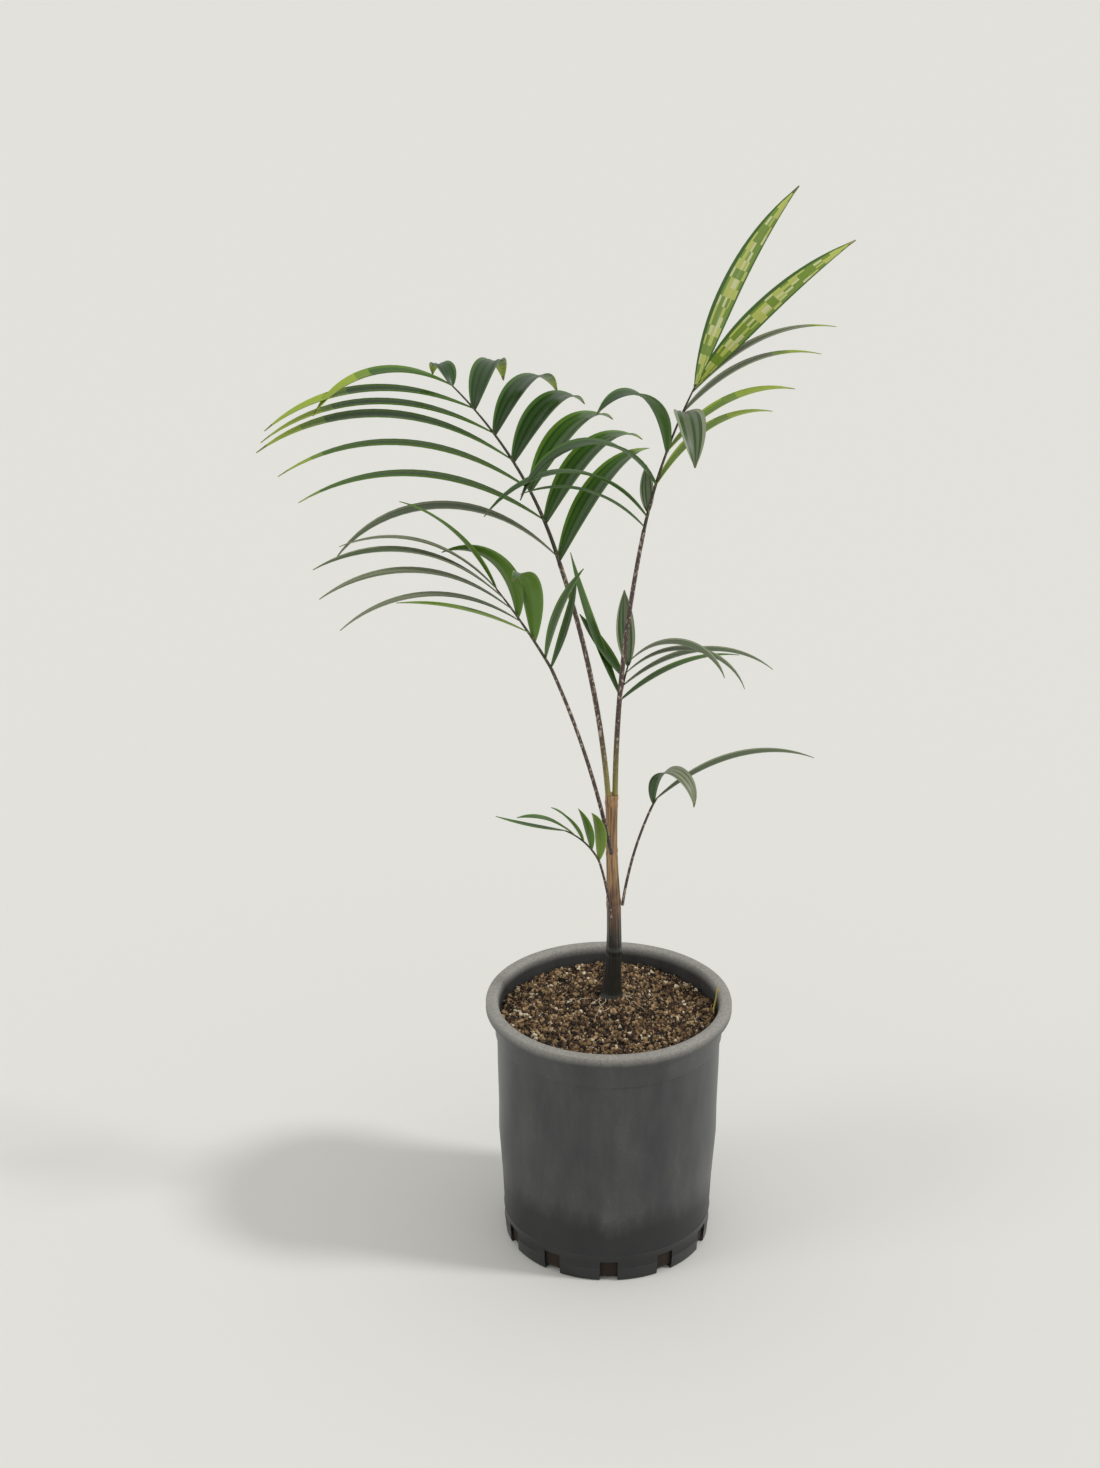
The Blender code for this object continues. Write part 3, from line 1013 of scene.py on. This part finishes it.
@dataclass
class Stem:
    """The stem in its leaf sheaths, from the root flare on the mix to the fork.

    The girth gives the radius at heights above the foot. The relief is made of broad folds, of fibres, and
    of the raised edge of a sheath at even spacing.
    """

    foot_height: float = 173.3
    height: float = 148.0
    foot: tuple[float, float] = (1.8, 12.0)
    top: tuple[float, float] = (0.8, 12.2)
    bow: float = 2.6
    bow_rate: float = 1.35
    girth: Rings = (
        (0.0, 8.8),
        (2.5, 7.6),
        (6.0, 6.9),
        (13.0, 6.0),
        (26.0, 5.3),
        (50.0, 4.9),
        (72.0, 4.8),
        (90.0, 4.2),
        (108.0, 3.8),
        (130.0, 3.9),
        (148.0, 4.3),
    )
    fold: float = 0.35
    fold_count: int = 3
    fold_twist: float = 0.02
    fibre: float = 0.18
    fibre_count: int = 11
    fibre_twist: float = 0.05
    sheath: float = 0.45
    sheath_spacing: float = 37.0
    sheath_edge: float = 33.0
    sheath_blur: float = 4.0
    relief_start: float = 12.0
    inset: float = 0.2
    steps: int = 110
    sides: int = 48
    smooth: float = 60.0

    def axis(self, share: float) -> tuple[float, float]:
        """The middle of the stem at a share of its height."""
        bow = self.bow * math.sin(math.pi * min(share * self.bow_rate, 1.0)) * (1 - share)
        return mix(self.foot[0], self.top[0], share) + bow, mix(self.foot[1], self.top[1], share)

    def radius(self, rise: float) -> float:
        """The stem's radius at a height above its foot."""
        heights, radii = zip(*self.girth)
        return float(np.interp(rise, heights, radii))

    def relief(self, angle: float, rise: float) -> float:
        """How far the sheaths' folds, fibres and edges stand out.

        Args:
            angle: The angle round the stem, in radians.
            rise: The height above its foot.

        Returns:
            The relief, which fades out at the foot.
        """
        fold = self.fold * math.sin(angle * self.fold_count + rise * self.fold_twist)
        fibre = self.fibre * math.sin(angle * self.fibre_count + rise * self.fibre_twist)
        past = (rise % self.sheath_spacing - self.sheath_edge) / self.sheath_blur
        sheath = self.sheath * math.exp(-(past**2)) * (0.5 + 0.5 * math.sin(angle + rise))
        return (fold + fibre + sheath) * min(rise / self.relief_start, 1.0)

    def ring(self, rise: float) -> list[Vector]:
        """The points round the stem.

        Args:
            rise: The height above its foot.

        Returns:
            One point for each side.
        """
        x, y = self.axis(rise / self.height)
        points = []
        for side in range(self.sides):
            angle = 2 * math.pi * side / self.sides
            radius = self.radius(rise) + self.relief(angle, rise) - self.inset
            across, away = radius * math.cos(angle), radius * math.sin(angle)
            points.append(Vector((x + across, y + away, self.foot_height + rise)))
        return points

    def build(self) -> None:
        """Skins the rings and dresses the stem, since no operator raises a relief by such a rule."""
        points = []
        for step in range(self.steps + 1):
            points += self.ring(self.height * step / self.steps)
        faces = []
        for step in range(self.steps):
            low, high = step * self.sides, (step + 1) * self.sides
            for side in range(self.sides):
                beside = (side + 1) % self.sides
                faces.append((low + side, low + beside, high + beside, high + side))
        faces.append(tuple(reversed(range(self.sides))))
        faces.append(tuple(range(self.steps * self.sides, (self.steps + 1) * self.sides)))
        builder = MeshBuilder()
        builder.add(points, faces, [0] * len(faces))
        settle(builder.piece("sheathed_stem", [SHEATH], self.smooth), "stem", "stem")


@dataclass
class Blade:
    """The shape and paint that one frond's leaflets share.

    Shares run from 0 at the root of a leaflet to 1 at its tip. The fold is the V across the blade, the keel
    sinks its middle, and the pleats run along it. A blade is built from points, because no operator sweeps
    a section that narrows, folds and turns on its way.
    """

    seed: int
    steps: int = 22
    columns: int = 8
    thickness: float = 0.35
    widest: float = 0.42
    root: float = 0.16
    swell: float = 0.85
    fade: float = 2.2
    tip: float = 0.05
    twist: float = 12.0
    fold: float = 0.26
    keel: float = 0.1
    pleat: float = 0.05
    # Strips across the blade that take the darker green, as painted shade in the pleats
    shaded_pleat_columns: tuple[int, ...] = (1, 3, 6)
    dry_from: float = 0.975
    dry_luck: float = 0.7
    # The olive band where the painted light through the tip begins
    lit_tip_band: float = 0.08
    streak_scale: tuple[float, float] = (14.0, 1.9)
    cream_from: float = 0.08
    cream_to: float = 0.85
    cream_level: float = 0.22
    straw_level: float = -0.06
    smooth: float = 70.0

    def width_share(self, share: float) -> float:
        """A blade's width against its widest.

        Args:
            share: How far along the blade.

        Returns:
            The width, from the narrow root over the widest place to the tip.
        """
        if share < self.widest:
            return mix(self.root, 1.0, math.sin(math.pi / 2 * share / self.widest) ** self.swell)
        past = (share - self.widest) / (1 - self.widest)
        return max(1 - past**self.fade, self.tip)

    def streak(self, share: float, column: int) -> Green:
        """The green of a mottled blade, in streaks along it.

        Args:
            share: How far along the blade.
            column: Which strip across the blade.

        Returns:
            The green.
        """
        along_scale, across_scale = self.streak_scale
        level = noise.noise(Vector((share * along_scale, column * across_scale, self.seed)))
        if self.cream_from < share < self.cream_to and level > self.cream_level:
            return Green.CREAM
        return Green.STRAW if level > self.straw_level else Green.OLIVE

    def green(self, leaflet: Leaflet, share: float, column: int, under: bool, luck: float) -> Green:
        """Which green a face is painted with.

        Args:
            leaflet: The leaflet it is on.
            share: How far along the blade it lies.
            column: Which strip across the blade it is in.
            under: Whether it is on the underside.
            luck: A seeded number from 0 to 1.

        Returns:
            The green.
        """
        blade, pleat, margin, back = leaflet.tone.value
        if share > self.dry_from and luck < self.dry_luck:
            return Green.DRY
        # Painted light: past this share the tip turns olive, then lime, as light shining through the thin
        # blade
        if share > leaflet.lit_tip:
            return Green.LIME if share > leaflet.lit_tip + self.lit_tip_band else Green.OLIVE
        if under:
            return back
        if column in (0, self.columns - 1):
            return margin
        if leaflet.tone is Tone.STREAKED:
            return self.streak(share, column)
        # Painted shade: the pleat strips take the tone's darker green
        return pleat if column in self.shaded_pleat_columns else blade

    def sections(self, root: Vector, leaflet: Leaflet, twist: float) -> tuple[list[Vector], list[Vector]]:
        """The points across the blade at each step along it.

        Args:
            root: Where the blade leaves the rib.
            leaflet: The blade's sizes.
            twist: How far it turns on its way to the tip, in degrees.

        Returns:
            The points of the upper face and of the lower face.
        """
        top, bottom = [], []
        points, ways = arching_path(root, leaflet, self.steps, LEAFLET_BEND)
        for index, (point, way) in enumerate(zip(points, ways)):
            share = index / self.steps
            turn = Matrix.Rotation(math.radians(leaflet.turn + twist * share), 3, way)
            side = turn @ level_side(leaflet.heading)
            normal = side.cross(way)
            half = leaflet.width * self.width_share(share) / 2
            for column in range(self.columns + 1):
                across = 2 * column / self.columns - 1
                fold = self.fold * abs(across) - self.keel + self.pleat * math.cos(math.pi * column)
                place = point + side * half * across + normal * half * fold
                top.append(place + normal * self.thickness / 2)
                bottom.append(place - normal * self.thickness / 2)
        return top, bottom

    def add(self, builder: MeshBuilder, root: Vector, leaflet: Leaflet, draw: np.random.Generator) -> None:
        """Adds one blade, closed round its edges.

        Args:
            builder: What gathers the frond's blades.
            root: Where the blade leaves the rib.
            leaflet: The blade's sizes.
            draw: The frond's seeded numbers.
        """
        top, bottom = self.sections(root, leaflet, draw.uniform(-self.twist, self.twist))
        row = self.columns + 1
        under = len(top)
        faces, greens = [], []
        for step in range(self.steps):
            share = (step + 0.5) / self.steps
            for column in range(self.columns):
                a = step * row + column
                b, c, d = a + 1, a + row + 1, a + row
                luck = draw.random()
                faces.append((a, d, c, b))
                greens.append(self.green(leaflet, share, column, False, luck))
                faces.append((under + a, under + b, under + c, under + d))
                greens.append(self.green(leaflet, share, column, True, luck))
            for edge, flip in ((0, False), (self.columns, True)):
                a, d = step * row + edge, (step + 1) * row + edge
                wall = (a, under + a, under + d, d)
                faces.append(tuple(reversed(wall)) if flip else wall)
                greens.append(self.green(leaflet, share, 0, False, 1.0))
        for step, flip in ((0, False), (self.steps, True)):
            for column in range(self.columns):
                a, b = step * row + column, step * row + column + 1
                wall = (a, b, under + b, under + a)
                faces.append(tuple(reversed(wall)) if flip else wall)
                greens.append(self.green(leaflet, step / self.steps, 0, True, 1.0))
        builder.add(top + bottom, faces, [GREENS.index(green) for green in greens])


@dataclass
class Frond:
    """A frond: where its petiole starts, the petiole, the rib and the leaflets along it."""

    name: str
    start: tuple[float, float, float]
    petiole: Limb
    rib: Limb
    leaflets: tuple[Leaflet, ...]
    seed: int
    skin: Finish = PETIOLE_SKIN
    petiole_steps: int = 36
    rib_steps: int = 30

    def build(self) -> None:
        """Makes the petiole, the rib and the blades, and dresses them."""
        points, _ = arching_path(Vector(self.start), self.petiole, self.petiole_steps)
        radii = self.petiole.radii(self.petiole_steps)
        petiole = swept_tube("petiole_skin_" + self.name, points, radii, self.skin)
        settle(petiole, "petiole", "petiole_" + self.name)
        foot = points[-1] + direction(self.petiole.heading, self.petiole.fall) * GAP
        spine, _ = arching_path(foot, self.rib, self.rib_steps)
        rib = swept_tube("rib_" + self.name, spine, self.rib.radii(self.rib_steps), RIB_SKIN)
        settle(rib, "leaf")
        draw = np.random.default_rng(self.seed)
        blade = Blade(self.seed)
        builder = MeshBuilder()
        for leaflet in self.leaflets:
            blade.add(builder, along(spine, leaflet.at), leaflet, draw)
        finishes = [green.value for green in GREENS]
        blades = builder.piece("leaflets_" + self.name, finishes, blade.smooth)
        settle(blades, "leaf", "frond_" + self.name)


def fronds() -> list[Frond]:
    """The six fronds of the palm, from the same sizes as its solids.

    Returns:
        The fronds, from the upper left one to the low left one.
    """
    upper_left = Frond(
        "upper_left",
        (-1.5, 10.2, 321.6),
        Limb(166, 195, 85, 72, 1.8, 1.45),
        Limb(136, 193, 74, 47, 1.3, 0.5),
        fan(
            7,
            Leaflet(0.03, 160, 191, 46, -54, 12, tone=Tone.SHEEN_SAGE),
            Leaflet(0.21, 162, 193, 36, -28, 15, tone=Tone.FRESH, lit_tip=0.9),
            Leaflet(0.55, 168, 194, 36, -34, 13, tone=Tone.FRESH, lit_tip=0.72),
            Leaflet(0.86, 134, 195, 25, -38, 12, tone=Tone.FRESH, lit_tip=0.6),
            Leaflet(1.00, 96, 197, 30, -58, 13, tone=Tone.BRIGHT, lit_tip=0.55),
        )
        + fan(
            7,
            Leaflet(0.01, 122, 56, 52, -12, 16, tone=Tone.FRESH, lit_tip=0.86),
            Leaflet(0.22, 124, 55, 50, -34, 18, tone=Tone.FRESH, lit_tip=0.84),
            Leaflet(0.45, 106, 60, 45, -32, 18, tone=Tone.DEEP, lit_tip=0.9),
            Leaflet(0.74, 92, 62, 52, -58, 16, tone=Tone.DEEP, lit_tip=0.75),
            Leaflet(0.90, 62, 76, 72, -85, 15, tone=Tone.DEEP, lit_tip=0.72),
            Leaflet(1.00, 34, 120, 64, -80, 12, tone=Tone.FRESH, lit_tip=0.7),
        ),
        seed=3,
        skin=UPPER_SKIN,
    )
    lower_left = Frond(
        "lower_left",
        (1.0, 6.5, 281.0),
        Limb(146, 209, 78, 66, 1.4, 1.1),
        Limb(70, 206, 61, 54, 1.0, 0.5),
        (
            Leaflet(0.01, 62, 29, 64, 84, 8, tone=Tone.FRESH),
            Leaflet(0.12, 63, 18, 79, 50, 12, tone=Tone.FRESH),
            Leaflet(0.34, 90, -104, 92, -12, 14, tone=Tone.FRESH),
            Leaflet(0.64, 77, 190, 92, -20, 13, 50, Tone.FRESH),
            Leaflet(1.00, 92, 206, 64, 22, 11, tone=Tone.FRESH),
        )
        + fan(
            4,
            Leaflet(0.58, 127, 203, 37, -36, 9, tone=Tone.SHEEN_ASH),
            Leaflet(0.84, 142, 205, 45, -24, 9, tone=Tone.SHEEN_SAGE),
            Leaflet(1.00, 114, 203, 50, -15, 9, tone=Tone.SHEEN_SAGE),
        )
        + (Leaflet(0.45, 99, 211, 32, 8, 10, tone=Tone.BRIGHT),),
        seed=5,
    )
    upper_right = Frond(
        "upper_right",
        (3.1, 11.8, 321.6),
        Limb(184, -26, 90, 79, 1.9, 1.3),
        Limb(100, -14, 79, 65, 1.1, 0.5),
        (
            Leaflet(0.30, 93, 19, 58, -12, 10, tone=Tone.LIME, lit_tip=0.6),
            Leaflet(0.53, 94, 16, 49, -13, 10, tone=Tone.LIME, lit_tip=0.5),
            Leaflet(0.80, 98, 14, 46, -15, 11, tone=Tone.SHEEN_SAGE, lit_tip=0.7),
            Leaflet(0.94, 102, 14, 46, -11, 11, tone=Tone.SHEEN_SAGE, lit_tip=0.8),
            Leaflet(0.98, 134, 22, 47, 25, 14, 35, Tone.STREAKED),
            Leaflet(1.00, 134, 27, 72, 42, 15, 25, Tone.STREAKED),
            Leaflet(0.02, 95, 205, 47, -13, 9),
            Leaflet(0.09, 139, 215, 51, -43, 10),
            Leaflet(0.31, 123, 213, 57, -67, 13),
            Leaflet(0.53, 88, 223, 86, -44, 15),
            Leaflet(0.80, 64, -84, 25, -82, 18, tone=Tone.SHEEN_SAGE),
            Leaflet(0.12, 30, 100, 60, 95, 9, tone=Tone.SHEEN_SAGE),
        ),
        seed=7,
        skin=UPPER_SKIN,
    )
    middle_right = Frond(
        "middle_right",
        (2.8, 15.6, 321.6),
        Limb(60, 50, 87, 85, 1.1, 0.95),
        Limb(29, 52, 78, 61, 0.9, 0.5),
        fan(
            4,
            Leaflet(0.10, 87, 16, 37, -12, 8, tone=Tone.FRESH),
            Leaflet(0.38, 109, 5, 40, -34, 8, tone=Tone.SHEEN_SAGE),
            Leaflet(0.68, 96, -10, 46, -70, 7, tone=Tone.SHEEN_SAGE),
            Leaflet(1.00, 78, -21, 48, -69, 9, tone=Tone.SHEEN_SAGE),
        )
        + (
            Leaflet(0.18, 99, 140, 58, 73, 8, tone=Tone.FRESH),
            Leaflet(0.60, 51, 147, 46, 49, 10, tone=Tone.FRESH),
            Leaflet(0.90, 50, 109, 69, 95, 13, tone=Tone.SHEEN_SAGE),
        ),
        seed=11,
    )
    low_right = Frond(
        "low_right",
        (8.8, 11.6, 241.0),
        Limb(77, -23, 83, 68, 1.0, 0.8),
        Limb(8, -23, 66, 60, 0.8, 0.6),
        (
            Leaflet(0.45, 68, -49, 96, -98, 13, tone=Tone.SHEEN_ASH),
            Leaflet(1.00, 112, 8, 40, -24, 8, tone=Tone.SHEEN_SAGE),
        ),
        seed=13,
    )
    low_left = Frond(
        "low_left",
        (1.2, 6.2, 234.0),
        Limb(47, 225, 82, 69, 1.0, 0.8),
        Limb(37, 204, 65, 30, 0.75, 0.45),
        fan(
            5,
            Leaflet(0.03, 40, 235, 104, 42, 9, tone=Tone.BRIGHT),
            Leaflet(0.27, 36, 231, 84, 55, 8, tone=Tone.FRESH),
            Leaflet(0.56, 40, 212, 65, 30, 8, tone=Tone.FRESH),
            Leaflet(0.79, 53, 215, 45, 4, 7, tone=Tone.FRESH),
            Leaflet(1.00, 59, 215, 20, 30, 6, tone=Tone.FRESH),
        ),
        seed=17,
    )
    return [upper_left, lower_left, upper_right, middle_right, low_right, low_left]


@dataclass(frozen=True)
class Sun:
    """A soft sun: its name, its turn and its width in degrees, and its strength."""

    name: str
    turn: tuple[float, float, float]
    strength: float
    width: float

    def build(self) -> None:
        """Hangs the sun."""
        light = bpy.data.lights.new(self.name, "SUN")
        light.energy = self.strength
        light.angle = math.radians(self.width)
        lamp = bpy.data.objects.new(self.name, light)
        lamp.rotation_euler = [math.radians(angle) for angle in self.turn]
        bpy.context.scene.collection.objects.link(lamp)


@dataclass
class Studio:
    """The pale floor, the soft light and the camera, in metres and degrees."""

    floor_size: float = 40.0
    floor_height: float = -0.0002
    sky: str = "f4f4f2"
    sky_strength: float = 0.72
    suns: tuple[Sun, ...] = (Sun("key", (50, 0, 79), 1.35, 9), Sun("fill", (58, 0, -68), 0.42, 24))
    distance: float = 1.6
    pitch: float = 22.7
    target: tuple[float, float, float] = (-0.0394, 0.0, 0.3692)
    lens: float = 61.2
    sensor: float = 36.0

    def build_floor(self) -> None:
        """Lays the floor."""
        deselect()
        bpy.ops.mesh.primitive_plane_add(size=self.floor_size, location=(0, 0, self.floor_height))
        floor = bpy.context.object
        floor.name = "studio_floor"
        floor.data.materials.append(PAPER.material())

    def build_light(self) -> None:
        """Lights the scene from an even sky and two suns, with colours shown as they are."""
        world = bpy.data.worlds.new("studio_light")
        world.use_nodes = True
        background = world.node_tree.nodes["Background"]
        background.inputs["Color"].default_value = linear_colour(self.sky)
        background.inputs["Strength"].default_value = self.sky_strength
        bpy.context.scene.world = world
        bpy.context.scene.view_settings.view_transform = "Standard"
        for sun in self.suns:
            sun.build()

    def build_camera(self) -> None:
        """Sets the camera, which looks along +Y and down at the target."""
        down = math.radians(self.pitch)
        back = Vector((0, -math.cos(down), math.sin(down))) * self.distance
        camera = bpy.data.objects.new("camera", bpy.data.cameras.new("camera"))
        camera.data.lens = self.lens
        camera.data.sensor_width = self.sensor
        camera.location = Vector(self.target) + back
        camera.rotation_euler = (math.pi / 2 - down, 0, 0)
        bpy.context.scene.collection.objects.link(camera)
        bpy.context.scene.camera = camera

    def build(self) -> None:
        """Sets the floor, the lights and the camera."""
        self.build_floor()
        self.build_light()
        self.build_camera()


def main() -> None:
    """Builds the studio, the pot, the mix, the stem and the fronds."""
    logging.basicConfig(level=logging.INFO)
    Studio().build()
    pot = Pot()
    pot.build()
    PottingMix(pot).build()
    Stem().build()
    for frond in fronds():
        frond.build()


if __name__ == "__main__":
    main()
